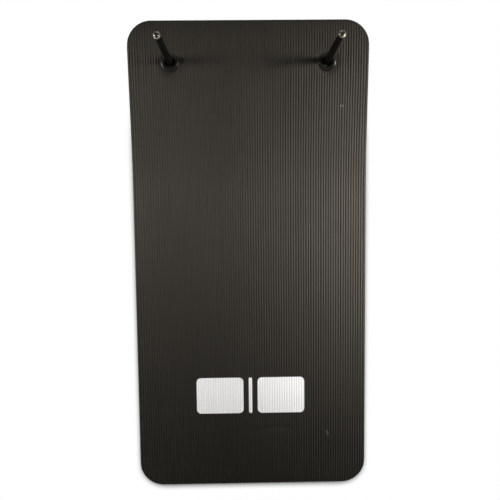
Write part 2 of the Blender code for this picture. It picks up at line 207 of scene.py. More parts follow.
def add_math(tree, operation, first, second=None):
    """A Math node's result. first and second are numbers or other nodes' outputs."""
    made = tree.nodes.new("ShaderNodeMath")
    made.operation = operation
    for socket, value in zip(made.inputs, (first, second)):
        if isinstance(value, (int, float)):
            socket.default_value = value
        elif value is not None:
            tree.links.new(value, socket)
    return made.outputs["Value"]


class Finish:
    """A material's node tree with short ways to add to it."""

    def __init__(self, name):
        self.material = bpy.data.materials.new(name)
        self.material.use_nodes = True
        self.tree = self.material.node_tree
        self.shader = self.tree.nodes["Principled BSDF"]

    def node(self, kind, **settings):
        made = self.tree.nodes.new(kind)
        for key, value in settings.items():
            setattr(made, key, value)
        return made

    def link(self, start, end):
        self.tree.links.new(start, end)

    def fixed(self, **values):
        """Numbers and colours that are the same all over, set on the shader's own sockets."""
        for key, value in values.items():
            self.shader.inputs[key.replace("_", " ")].default_value = value

    def place(self, scale=(1, 1, 1)):
        """Object coordinates through a Mapping node."""
        coordinates = self.node("ShaderNodeTexCoord")
        mapping = self.node("ShaderNodeMapping")
        mapping.inputs["Scale"].default_value = scale
        self.link(coordinates.outputs["Object"], mapping.inputs["Vector"])
        return mapping.outputs["Vector"]

    def axes(self, where):
        """The X, Y and Z of a place."""
        made = self.node("ShaderNodeSeparateXYZ")
        self.link(where, made.inputs["Vector"])
        return made.outputs

    def noise(self, where, scale, detail, roughness):
        made = self.node("ShaderNodeTexNoise")
        made.inputs["Scale"].default_value = scale
        made.inputs["Detail"].default_value = detail
        made.inputs["Roughness"].default_value = roughness
        self.link(where, made.inputs["Vector"])
        return made.outputs["Fac"]

    def cells(self, where, scale):
        made = self.node("ShaderNodeTexVoronoi")
        made.inputs["Scale"].default_value = scale
        self.link(where, made.inputs["Vector"])
        return made.outputs["Distance"]

    def spread(self, value, low, high, new_low=0.0, new_high=1.0, smooth=False):
        """Stretches the range from low to high over a new one."""
        made = self.node("ShaderNodeMapRange", interpolation_type="SMOOTHSTEP" if smooth else "LINEAR")
        made.inputs["From Min"].default_value = low
        made.inputs["From Max"].default_value = high
        made.inputs["To Min"].default_value = new_low
        made.inputs["To Max"].default_value = new_high
        self.link(value, made.inputs["Value"])
        return made.outputs["Result"]

    def work_out(self, operation, first, second=None):
        return add_math(self.tree, operation, first, second)

    def distance(self, across, along):
        """The length of two steps at right angles."""
        squares = self.work_out("ADD", self.work_out("MULTIPLY", across, across),
                                self.work_out("MULTIPLY", along, along))
        return self.work_out("SQRT", squares)

    def most_of(self, values):
        """The largest of several values at each point."""
        most = values[0]
        for value in values[1:]:
            most = self.work_out("MAXIMUM", most, value)
        return most

    def mix(self, share, first, second):
        """A colour between two, either of them a fixed colour or another node's."""
        made = self.node("ShaderNodeMix", data_type="RGBA")
        self.link(share, made.inputs["Factor"])
        for socket, value in ((made.inputs[6], first), (made.inputs[7], second)):
            if isinstance(value, tuple):
                socket.default_value = (*value, 1.0)
            else:
                self.link(value, socket)
        return made.outputs[2]

    def bump(self, height, distance, strength, under=None):
        made = self.node("ShaderNodeBump")
        made.inputs["Distance"].default_value = distance
        made.inputs["Strength"].default_value = strength
        self.link(height, made.inputs["Height"])
        if under is not None:
            self.link(under, made.inputs["Normal"])
        return made.outputs["Normal"]

    def use(self, **links):
        for key, value in links.items():
            self.link(value, self.shader.inputs[key.replace("_", " ")])
        return self.material

    def show(self, surface):
        """Another shader in the place of the material's own."""
        output = next(node for node in self.tree.nodes if node.type == "OUTPUT_MATERIAL")
        self.link(surface, output.inputs["Surface"])
        return self.material


# Materials

# Painted shade by the rib grooves, far darker than the foam's own tone on the crests
GROOVE_PAINTED_SHADE = (0.0010, 0.0010, 0.0008)
CREST_DARK = (0.0122, 0.0110, 0.0086)
CREST_LIGHT = (0.0160, 0.0144, 0.0115)
FOAM_CUT = (0.0130, 0.0122, 0.0100)
FOAM_SCUFF = (0.0300, 0.0285, 0.0240)
FOAM_CHIP = (0.1200, 0.1170, 0.1080)
FOAM_SHINE = (1.0, 0.93, 0.81, 1.0)
INK_WHITE = (0.830, 0.830, 0.850)
INK_WORN = (0.740, 0.740, 0.755)
ENAMEL_DARK = (0.010, 0.0095, 0.008)
ENAMEL_LIGHT = (0.016, 0.015, 0.013)
COAT_DARK = (0.0075, 0.0070, 0.0052)
COAT_LIGHT = (0.0120, 0.0112, 0.0088)
PLUG_DARK = (0.008, 0.008, 0.007)
PLUG_LIGHT = (0.012, 0.012, 0.011)
CAP_DARK = (0.017, 0.017, 0.016)
CAP_LIGHT = (0.024, 0.024, 0.023)
BRIGHT_STEEL = (0.68, 0.61, 0.45)
DULLED_STEEL = (0.50, 0.44, 0.32)
ZINC_BLUE = (0.50, 0.52, 0.54)
ZINC_STRAW = (0.60, 0.58, 0.50)
FLOOR_DARK = (0.80, 0.80, 0.80)
FLOOR_LIGHT = (0.84, 0.84, 0.84)

# How much of the foam's tone is broad clouds, and how much rougher its cut face is
CLOUD_SHARE = 0.55
CUT_ROUGHER = 0.25

# Added to the place across the ribs, in ribs, for the painted rib shading. It puts the palest line a
# little left of each crest, and the darkest painted shade a little left of each groove
RIB_SHADE_TURN = -0.125

# How much paler dust is than the coat under it
DUST_GAIN = 1.8
DUST_LIFT = 0.004

# Small pale chips in the skin: place across, height, radius, and how many times wider than high
CHIPS = ((0.2050, -0.985, 0.0042, 0.9), (0.2025, -0.979, 0.0030, 0.6), (0.2364, -0.1133, 0.0040, 2.2),
         (0.2410, -0.1120, 0.0026, 0.45), (0.2352, -0.1120, 0.0024, 0.5))

# The plain print low on the mat: two rounded pads beside a thin centre line
PRINT_X = -0.004
PRINT_Z = -0.875
PAD_HALF_WIDTH = 0.063
PAD_HALF_HEIGHT = 0.0490
PAD_CENTRE = 0.0820
PAD_CORNER = 0.0120
LINE_HALF_WIDTH = 0.0045
LINE_CORNER = 0.98 * LINE_HALF_WIDTH
PRINT_SOFTNESS = 0.0006


def rounded_shape(finish, where, centre_x, half_width, corner):
    """1 inside one of the print's upright shapes with round corners, 0 outside."""
    spot = finish.axes(where)
    across = finish.work_out("ABSOLUTE", finish.work_out("SUBTRACT", spot["X"], centre_x))
    along = finish.work_out("ABSOLUTE", finish.work_out("SUBTRACT", spot["Z"], PRINT_Z))
    past_x = finish.work_out("MAXIMUM", finish.work_out("SUBTRACT", across, half_width - corner), 0.0)
    past_z = finish.work_out("MAXIMUM", finish.work_out("SUBTRACT", along, PAD_HALF_HEIGHT - corner), 0.0)
    return finish.spread(finish.distance(past_x, past_z), corner - PRINT_SOFTNESS,
                         corner + PRINT_SOFTNESS, new_low=1.0, new_high=0.0, smooth=True)


def round_spot(finish, where, x, z, radius, stretch):
    """A soft round spot on the mat's face, 1 at its middle."""
    spot = finish.axes(where)
    across = finish.work_out("SUBTRACT", spot["X"], x)
    along = finish.work_out("MULTIPLY", finish.work_out("SUBTRACT", spot["Z"], z), stretch)
    return finish.spread(finish.distance(across, along), 0.0, radius,
                         new_low=1.0, new_high=0.0, smooth=True)


def foam_finish():
    """Black closed-cell foam: moulded skin on the ribs with painted shade by their grooves, open pores on
    the cut edge, plain white print.
    """
    finish = Finish("ribbed_black_foam")
    place = finish.place()
    upright = finish.place(scale=(1.0, 1.0, 0.06))
    clouds = finish.noise(place, scale=7.0, detail=3.0, roughness=0.55)
    streaks = finish.noise(upright, scale=160.0, detail=3.0, roughness=0.6)
    skin = finish.noise(place, scale=900.0, detail=3.0, roughness=0.65)
    rubs = finish.noise(place, scale=34.0, detail=4.0, roughness=0.7)
    wear = finish.noise(finish.place(scale=(1.0, 1.0, 0.25)), scale=420.0, detail=3.0, roughness=0.6)
    pores = finish.cells(place, scale=1500.0)
    cut_pores = finish.cells(place, scale=950.0)
    face = finish.node("ShaderNodeAttribute", attribute_name="ribbed_face").outputs["Fac"]
    edge = finish.node("ShaderNodeAttribute", attribute_name="cut_edge").outputs["Fac"]

    # Painted shade across each rib: black by the grooves, the foam's own dark grey on the crests
    ribs = finish.work_out("DIVIDE", finish.axes(place)["X"], MAT_WIDTH / RIB_COUNT)
    turns = finish.work_out("ADD", ribs, RIB_SHADE_TURN)
    # The wave across each rib that the painted rib shade follows
    wave = finish.work_out("SINE", finish.work_out("MULTIPLY", turns, 2 * math.pi))
    tone = finish.work_out("ADD", finish.work_out("MULTIPLY", clouds, CLOUD_SHARE),
                           finish.work_out("MULTIPLY", streaks, 1 - CLOUD_SHARE))
    crest = finish.mix(finish.spread(tone, 0.36, 0.64), CREST_DARK, CREST_LIGHT)
    colour = finish.mix(finish.spread(wave, -1.0, 1.0), GROOVE_PAINTED_SHADE, crest)

    # Specks, the cut face, rubbed patches, chips and the print over it
    colour = finish.mix(finish.spread(skin, 0.62, 0.80, new_high=0.35), colour, FOAM_SCUFF)
    colour = finish.mix(edge, colour, FOAM_CUT)
    colour = finish.mix(finish.spread(rubs, 0.60, 0.78, new_high=0.22), colour, FOAM_SCUFF)
    chips = finish.most_of([round_spot(finish, place, *chip) for chip in CHIPS])
    colour = finish.mix(finish.work_out("MULTIPLY", chips, face), colour, FOAM_CHIP)
    shapes = finish.most_of([
        rounded_shape(finish, place, PRINT_X - PAD_CENTRE, PAD_HALF_WIDTH, PAD_CORNER),
        rounded_shape(finish, place, PRINT_X + PAD_CENTRE, PAD_HALF_WIDTH, PAD_CORNER),
        rounded_shape(finish, place, PRINT_X, LINE_HALF_WIDTH, LINE_CORNER)])
    ink = finish.mix(finish.spread(wear, 0.45, 0.75, new_high=0.6), INK_WHITE, INK_WORN)
    colour = finish.mix(finish.work_out("MULTIPLY", shapes, face), colour, ink)

    rough = finish.spread(skin, 0.3, 0.7, new_low=0.50, new_high=0.63)
    rough = finish.work_out("ADD", rough, finish.spread(clouds, 0.3, 0.7, new_low=-0.03, new_high=0.03))
    rough = finish.work_out("ADD", rough, finish.work_out("MULTIPLY", edge, CUT_ROUGHER))

    grain = finish.bump(skin, distance=0.00006, strength=0.55)
    grain = finish.bump(pores, distance=0.00004, strength=0.45, under=grain)
    cut_height = finish.work_out("MULTIPLY", cut_pores, edge)
    grain = finish.bump(cut_height, distance=0.00035, strength=0.7, under=grain)
    finish.fixed(Specular_IOR_Level=0.36, Specular_Tint=FOAM_SHINE)
    return finish.use(Base_Color=colour, Roughness=rough, Normal=grain)


def coated_finish(name, dark, light, low_rough, high_rough, grain, peel, shine):
    """Powder coat or enamel: slight orange peel, fine dust and worn, lighter patches."""
    finish = Finish(name)
    place = finish.place()
    patches = finish.noise(place, scale=45.0, detail=4.0, roughness=0.6)
    orange_peel = finish.noise(place, scale=grain, detail=2.0, roughness=0.5)
    dust = finish.noise(place, scale=2600.0, detail=2.0, roughness=0.7)
    dusty = tuple(min(1.0, DUST_GAIN * channel + DUST_LIFT) for channel in light)
    colour = finish.mix(finish.spread(patches, 0.35, 0.65), dark, light)
    colour = finish.mix(finish.spread(dust, 0.60, 0.80, new_high=0.35), colour, dusty)
    rough = finish.spread(patches, 0.3, 0.7, new_low=low_rough, new_high=high_rough)
    finish.fixed(Specular_IOR_Level=shine)
    return finish.use(Base_Color=colour, Roughness=rough,
                      Normal=finish.bump(orange_peel, distance=peel, strength=0.6))


def bright_finish():
    """Turned bright steel with fine rings, dulled a little in patches."""
    finish = Finish("bright_turned_steel")
    rings = finish.noise(finish.place(scale=(1.0, 22.0, 1.0)), scale=420.0, detail=3.0, roughness=0.6)
    dull = finish.noise(finish.place(), scale=260.0, detail=3.0, roughness=0.6)
    colour = finish.mix(finish.spread(dull, 0.35, 0.7), BRIGHT_STEEL, DULLED_STEEL)
    rough = finish.spread(rings, 0.3, 0.7, new_low=0.34, new_high=0.48)
    finish.fixed(Metallic=1.0)
    return finish.use(Base_Color=colour, Roughness=rough,
                      Normal=finish.bump(rings, distance=0.00003, strength=0.5))


def zinc_finish():
    """Zinc plating: grey with a faint blue and straw mottle."""
    finish = Finish("zinc_plated_steel")
    place = finish.place()
    mottle = finish.noise(place, scale=380.0, detail=4.0, roughness=0.65)
    fine = finish.noise(place, scale=2200.0, detail=2.0, roughness=0.6)
    colour = finish.mix(finish.spread(mottle, 0.35, 0.65), ZINC_BLUE, ZINC_STRAW)
    rough = finish.spread(mottle, 0.3, 0.7, new_low=0.28, new_high=0.44)
    finish.fixed(Metallic=1.0)
    return finish.use(Base_Color=colour, Roughness=rough,
                      Normal=finish.bump(fine, distance=0.00003, strength=0.5))


def moulded_finish(name, dark, light, low_rough, high_rough, grain, depth, shine, refraction):
    """Moulded plastic with a fine even grain."""
    finish = Finish(name)
    place = finish.place()
    flow = finish.noise(place, scale=60.0, detail=3.0, roughness=0.5)
    texture = finish.cells(place, scale=grain)
    colour = finish.mix(finish.spread(flow, 0.35, 0.65), dark, light)
    rough = finish.spread(flow, 0.3, 0.7, new_low=low_rough, new_high=high_rough)
    finish.fixed(Specular_IOR_Level=shine, IOR=refraction)
    return finish.use(Base_Color=colour, Roughness=rough,
                      Normal=finish.bump(texture, distance=depth, strength=0.4))


def floor_finish():
    """Pale studio floor that fades to white away from the object, and keeps its shadow near it."""
    finish = Finish("pale_studio_floor")
    place = finish.place()
    patches = finish.noise(place, scale=3.0, detail=3.0, roughness=0.5)
    finish.fixed(Roughness=0.9, Specular_IOR_Level=0.1)
    finish.use(Base_Color=finish.mix(patches, FLOOR_DARK, FLOOR_LIGHT))
    spot = finish.axes(place)
    across = finish.work_out("MULTIPLY", spot["X"], FLOOR_SHADE_STRETCH)
    along = finish.work_out("SUBTRACT", spot["Y"], FLOOR_SHADE_Y)
    far = finish.spread(finish.distance(across, along), FLOOR_SHADE_START, FLOOR_SHADE_END,
                        new_low=FLOOR_LEAST_WHITE, smooth=True)
    path = finish.node("ShaderNodeLightPath").outputs
    seen = finish.work_out("MAXIMUM", path["Is Camera Ray"], path["Is Transmission Ray"])
    glow = finish.node("ShaderNodeEmission")
    blend = finish.node("ShaderNodeMixShader")
    finish.link(finish.work_out("MULTIPLY", far, seen), blend.inputs["Fac"])
    finish.link(finish.shader.outputs["BSDF"], blend.inputs[1])
    finish.link(glow.outputs["Emission"], blend.inputs[2])
    return finish.show(blend.outputs["Shader"])


def wall_finish():
    """The soft shadow on a white wall of what hangs close to it. All else of the wall is clear."""
    finish = Finish("wall_shadow")
    leaning = finish.node("ShaderNodeCombineXYZ")
    for axis, share in zip("XYZ", WALL_SHADE_LEAN):
        leaning.inputs[axis].default_value = share
    hollow = finish.node("ShaderNodeAmbientOcclusion", samples=WALL_SHADE_SAMPLES)
    hollow.inputs["Distance"].default_value = WALL_SHADE_REACH
    finish.link(leaning.outputs["Vector"], hollow.inputs["Normal"])
    open_share = finish.spread(hollow.outputs["AO"], WALL_SHADE_LOW, WALL_SHADE_HIGH)
    behind = finish.node("ShaderNodeNewGeometry").outputs["Backfacing"]
    clear = finish.node("ShaderNodeBsdfTransparent")
    finish.link(finish.mix(finish.work_out("MAXIMUM", open_share, behind), WALL_SHADE, WALL_WHITE),
                clear.inputs["Color"])
    finish.tree.nodes.remove(finish.shader)
    return finish.show(clear.outputs["BSDF"])


# Mesh helpers


def new_piece(name, points, faces, material, smooth=True):
    mesh = bpy.data.meshes.new(name)
    mesh.from_pydata([tuple(point) for point in points], [], faces)
    mesh.materials.append(material)
    obj = bpy.data.objects.new(name, mesh)
    bpy.context.scene.collection.objects.link(obj)
    if smooth:
        mesh.polygons.foreach_set("use_smooth", [True] * len(mesh.polygons))
    return obj


def face_outwards(obj, weld=True):
    """Turns all faces outwards. With weld, points at the same place are first made one."""
    work = bmesh.new()
    work.from_mesh(obj.data)
    if weld:
        bmesh.ops.remove_doubles(work, verts=work.verts, dist=WELD_DISTANCE)
    bmesh.ops.recalc_face_normals(work, faces=work.faces)
    work.to_mesh(obj.data)
    work.free()


def sharpen(obj, degrees):
    """Marks edges sharper than an angle, so that smooth shading stops there."""
    work = bmesh.new()
    work.from_mesh(obj.data)
    limit = math.radians(degrees)
    for edge in work.edges:
        if len(edge.link_faces) == 2 and edge.calc_face_angle(0.0) > limit:
            edge.smooth = False
    work.to_mesh(obj.data)
    work.free()


def turned_piece(name, profile, place, material, closed=True, sides=TURNED_SIDES, crease=TURNED_CREASE):
    """Turns an outline of (radius, height) about Z, then puts it in place with a matrix. An outline
    that isn't closed starts and ends on the axis."""
    points = []
    rings = []
    for radius, height in profile:
        if radius < WELD_DISTANCE:
            rings.append([len(points)])
            points.append(Vector((0, 0, height)))
            continue
        ring = []
        for step in range(sides):
            angle = 2 * math.pi * step / sides
            ring.append(len(points))
            points.append(Vector((radius * math.cos(angle), radius * math.sin(angle), height)))
        rings.append(ring)
    faces = []
    count = len(rings) if closed else len(rings) - 1
    for number in range(count):
        upper, lower = rings[number], rings[(number + 1) % len(rings)]
        for step in range(sides):
            after = (step + 1) % sides
            if len(upper) == 1:
                faces.append((upper[0], lower[step], lower[after]))
            elif len(lower) == 1:
                faces.append((upper[step], lower[0], upper[after]))
            else:
                faces.append((upper[step], lower[step], lower[after], upper[after]))
    obj = new_piece(name, [place @ point for point in points], faces, material)
    face_outwards(obj)
    sharpen(obj, crease)
    return obj


def arc(centre, radius_x, radius_y, start, end, steps):
    """Points on an ellipse from one angle to another, in degrees."""
    made = []
    for step in range(steps + 1):
        angle = math.radians(start + (end - start) * step / steps)
        made.append((centre[0] + radius_x * math.cos(angle), centre[1] + radius_y * math.sin(angle)))
    return made


def dress(obj, body, slot, *nodes):
    """Hides the solids that a piece stands in for and makes the piece move with its body. The slot is not
    used.
    """
    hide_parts(*nodes)
    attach(obj, body)


# Foam mat


def rib_field_tree():
    """Geometry nodes that mould a flat field of ribs, one instance for each rib."""
    tree = bpy.data.node_groups.new("moulded_rib_field", "GeometryNodeTree")
    sockets = {}
    for name, kind in (("Rib Count", "NodeSocketInt"), ("Rib Pitch", "NodeSocketFloat"),
                       ("Rib Length", "NodeSocketFloat"), ("Rib Depth", "NodeSocketFloat"),
                       ("Crest Power", "NodeSocketFloat"), ("Facets Across", "NodeSocketInt"),
                       ("Facets Along", "NodeSocketInt"), ("Depth Variation", "NodeSocketFloat"),
                       ("Seed", "NodeSocketInt"), ("Foam", "NodeSocketMaterial")):
        sockets[name] = tree.interface.new_socket(name, in_out="INPUT", socket_type=kind).identifier
    tree.interface.new_socket("Geometry", in_out="OUTPUT", socket_type="NodeSocketGeometry")
    sizes = tree.nodes.new("NodeGroupInput").outputs
    result = tree.nodes.new("NodeGroupOutput")

    def work_out(operation, first, second=None):
        return add_math(tree, operation, first, second)

    strip = tree.nodes.new("GeometryNodeMeshGrid")
    tree.links.new(sizes["Rib Pitch"], strip.inputs["Size X"])
    tree.links.new(sizes["Rib Length"], strip.inputs["Size Y"])
    tree.links.new(work_out("ADD", sizes["Facets Across"], 1), strip.inputs["Vertices X"])
    tree.links.new(work_out("ADD", sizes["Facets Along"], 1), strip.inputs["Vertices Y"])

    # The wave across a rib: no drop on its crest, the full depth in the grooves
    spot = tree.nodes.new("ShaderNodeSeparateXYZ")
    position = tree.nodes.new("GeometryNodeInputPosition")
    tree.links.new(position.outputs["Position"], spot.inputs["Vector"])
    across = work_out("ABSOLUTE", work_out("DIVIDE", spot.outputs["X"], sizes["Rib Pitch"]))
    wave = work_out("SINE", work_out("MULTIPLY", across, math.pi))
    fall = work_out("MULTIPLY", work_out("POWER", wave, sizes["Crest Power"]), sizes["Rib Depth"])
    drop = tree.nodes.new("ShaderNodeCombineXYZ")
    tree.links.new(work_out("MULTIPLY", fall, -1.0), drop.inputs["Z"])
    moulded = tree.nodes.new("GeometryNodeSetPosition")
    tree.links.new(strip.outputs["Mesh"], moulded.inputs["Geometry"])
    tree.links.new(drop.outputs["Vector"], moulded.inputs["Offset"])

    # One point for each rib, side by side about the middle
    line = tree.nodes.new("GeometryNodeMeshLine")
    line.mode = "OFFSET"
    first = tree.nodes.new("ShaderNodeCombineXYZ")
    gaps = work_out("SUBTRACT", sizes["Rib Count"], 1)
    width = work_out("MULTIPLY", gaps, sizes["Rib Pitch"])
    tree.links.new(work_out("MULTIPLY", width, -0.5), first.inputs["X"])
    step = tree.nodes.new("ShaderNodeCombineXYZ")
    tree.links.new(sizes["Rib Pitch"], step.inputs["X"])
    tree.links.new(sizes["Rib Count"], line.inputs["Count"])
    tree.links.new(first.outputs["Vector"], line.inputs["Start Location"])
    tree.links.new(step.outputs["Vector"], line.inputs["Offset"])

    # A rib on each point, each of a slightly different depth
    chance = tree.nodes.new("FunctionNodeRandomValue")
    chance.data_type = "FLOAT"
    tree.links.new(work_out("SUBTRACT", 1.0, sizes["Depth Variation"]), chance.inputs[2])
    tree.links.new(work_out("ADD", 1.0, sizes["Depth Variation"]), chance.inputs[3])
    tree.links.new(sizes["Seed"], chance.inputs["Seed"])
    scale = tree.nodes.new("ShaderNodeCombineXYZ")
    scale.inputs["X"].default_value = 1.0
    scale.inputs["Y"].default_value = 1.0
    tree.links.new(chance.outputs[1], scale.inputs["Z"])
    ribs = tree.nodes.new("GeometryNodeInstanceOnPoints")
    tree.links.new(line.outputs["Mesh"], ribs.inputs["Points"])
    tree.links.new(moulded.outputs["Geometry"], ribs.inputs["Instance"])
    tree.links.new(scale.outputs["Vector"], ribs.inputs["Scale"])
    real = tree.nodes.new("GeometryNodeRealizeInstances")
    tree.links.new(ribs.outputs["Instances"], real.inputs["Geometry"])
    foam = tree.nodes.new("GeometryNodeSetMaterial")
    tree.links.new(real.outputs["Geometry"], foam.inputs["Geometry"])
    tree.links.new(sizes["Foam"], foam.inputs["Material"])
    tree.links.new(foam.outputs["Geometry"], result.inputs["Geometry"])
    return tree, sockets


def row_heights():
    """Heights of the mat's rows of points, close together at the crease and round the eyelets."""
    stops = (MAT_BOTTOM + MAT_EDGE_RADIUS, CREASE_Z - CREASE_ZONE, CREASE_Z + CREASE_ZONE,
             MAT_TOP - BEND_LENGTH, EYELET_Z - EYELET_ZONE, EYELET_Z + EYELET_ZONE,
             MAT_TOP - MAT_EDGE_RADIUS)
    stretches = [np.linspace(low, high, rows, endpoint=False)
                 for low, high, rows in zip(stops, stops[1:], MAT_ROWS)]
    return np.append(np.concatenate(stretches), stops[-1])


def mat_reach(height):
    """How far the rail pushes the mat out from the wall at a height."""
    return TOP_REACH * smooth_step(1 - (MAT_TOP - height) / BEND_LENGTH)


def eyelet_distance(x, height):
    """How far a point of the mat is from the nearer eyelet's axis."""
    slant = (height - EYELET_Z) / math.cos(EYELET_LEAN)
    return np.minimum(np.hypot(x - PEG_X, slant), np.hypot(x + PEG_X, slant))


def pinch(x, height):
    """0 under an eyelet's flange, 1 where the foam has its full thickness."""
    return smooth_step((eyelet_distance(x, height) - PINCH_START) / (PINCH_END - PINCH_START))


def front_height(x, height, rib):
    """The front skin's distance from the foam's middle. rib is 0 on a crest and negative in a groove."""
    full = pinch(x, height)
    sunk = EYELET_SINK * (1 - full)
    swell = SWELL_HEIGHT * np.exp(-((eyelet_distance(x, height) - SWELL_RADIUS) / SWELL_WIDTH) ** 2)
    along = (x - CREASE_X) / CREASE_HALF_LENGTH
    above = height - (CREASE_Z + CREASE_SAG / 2 - CREASE_SAG * along ** 2)
    crease_width = np.where(above > 0, CREASE_WIDTH_ABOVE, CREASE_WIDTH_BELOW)
    crease = CREASE_DEPTH * np.exp(-(above / crease_width) ** 2) * np.clip(1 - along ** 2, 0, 1)
    rib_share = PRESSED_RIB_SHARE + (1 - PRESSED_RIB_SHARE) * full
    return MAT_THICKNESS / 2 - sunk + swell - crease + rib * rib_share


def back_height(x, height):
    return -(MAT_THICKNESS / 2 - EYELET_SINK * (1 - pinch(x, height)))


def to_space(x, height, thickness):
    """From the mat's own width, height and thickness to its hanging shape."""
    y = -MAT_WALL_GAP - MAT_THICKNESS / 2 - mat_reach(height) - thickness
    return np.stack([x, y, height], axis=-1)


def mould_ribs(rows, material):
    """The field of ribs on the mat's grid: the columns and rows of its quads' corners, and how deep
    each grid point lies. Neighbouring ribs' shared edges are made one."""
    tree, sockets = rib_field_tree()
    field = bpy.data.objects.new("rib_field", bpy.data.meshes.new("rib_field"))
    bpy.context.scene.collection.objects.link(field)
    modifier = field.modifiers.new("ribs", "NODES")
    modifier.node_group = tree
    for name, value in (("Rib Count", RIB_COUNT), ("Rib Pitch", MAT_WIDTH / RIB_COUNT),
                        ("Rib Length", MAT_LENGTH), ("Rib Depth", RIB_DEPTH),
                        ("Crest Power", RIB_CREST_POWER), ("Facets Across", RIB_STEPS),
                        ("Facets Along", len(rows) - 1), ("Depth Variation", RIB_VARIATION),
                        ("Seed", RIB_SEED), ("Foam", material)):
        modifier[sockets[name]] = value
    bpy.context.view_layer.update()
    skin = bpy.data.meshes.new_from_object(field.evaluated_get(bpy.context.evaluated_depsgraph_get()))
    bpy.data.objects.remove(field)
    flat = np.empty(len(skin.vertices) * 3)
    skin.vertices.foreach_get("co", flat)
    x, y, depth = flat.reshape(-1, 3).T
    corners = np.empty(len(skin.loops), dtype=int)
    skin.loops.foreach_get("vertex_index", corners)
    corners = corners.reshape(-1, 4)
    bpy.data.meshes.remove(skin)

    columns = RIB_COUNT * RIB_STEPS
    column = np.rint((x / MAT_WIDTH + 0.5) * columns).astype(int)
    row = np.rint((y / MAT_LENGTH + 0.5) * (len(rows) - 1)).astype(int)
    total = np.zeros((columns + 1, len(rows)))
    count = np.zeros((columns + 1, len(rows)))
    np.add.at(total, (column, row), depth)
    np.add.at(count, (column, row), 1)
    return column[corners], row[corners], total / count


def edge_steps(front, back):
    """The rings of points round the mat's edge, from the ribbed face to the back: how far outward
    each lies, and its distance from the foam's middle."""
    radius = MAT_EDGE_RADIUS
    steps = []
    for turn in map(math.radians, FRONT_EDGE_TURNS):
        steps.append((radius * math.sin(turn), front - radius * (1 - math.cos(turn))))
    for share in CUT_FACE_SHARES:
        steps.append((radius, (front - radius) * (1 - share) + (back + radius) * share))
    for turn in map(math.radians, BACK_EDGE_TURNS):
        steps.append((radius * math.sin(turn), back + radius * (1 - math.cos(turn))))
    return steps


def plain_back(width, height, edge_points, total):
    """The back's new points and its faces, one column for each rib. edge_points gives the number of
    the edge's point at each column and row of the outline, and total counts the points so far."""
    last_row = width.shape[1] - 1
    numbers = np.full((RIB_COUNT + 1, last_row + 1), -1)
    for (column, row), number in edge_points.items():
        if column % RIB_STEPS == 0:
            numbers[column // RIB_STEPS, row] = number
    inner_i, inner_j = np.nonzero(numbers < 0)
    numbers[inner_i, inner_j] = np.arange(total, total + len(inner_i))
    x = width[inner_i * RIB_STEPS, inner_j]
    z = height[inner_i * RIB_STEPS, inner_j]

    faces = []
    for i in range(RIB_COUNT):
        between = range(i * RIB_STEPS + 1, (i + 1) * RIB_STEPS)
        for j in range(last_row):
            outline = [numbers[i, j]]
            if j == 0:
                outline += [edge_points[column, 0] for column in between]
            outline += [numbers[i + 1, j], numbers[i + 1, j + 1]]
            if j == last_row - 1:
                outline += [edge_points[column, last_row] for column in reversed(between)]
            outline.append(numbers[i, j + 1])
            faces.append([int(number) for number in outline])
    return to_space(x, z, back_height(x, z)), faces


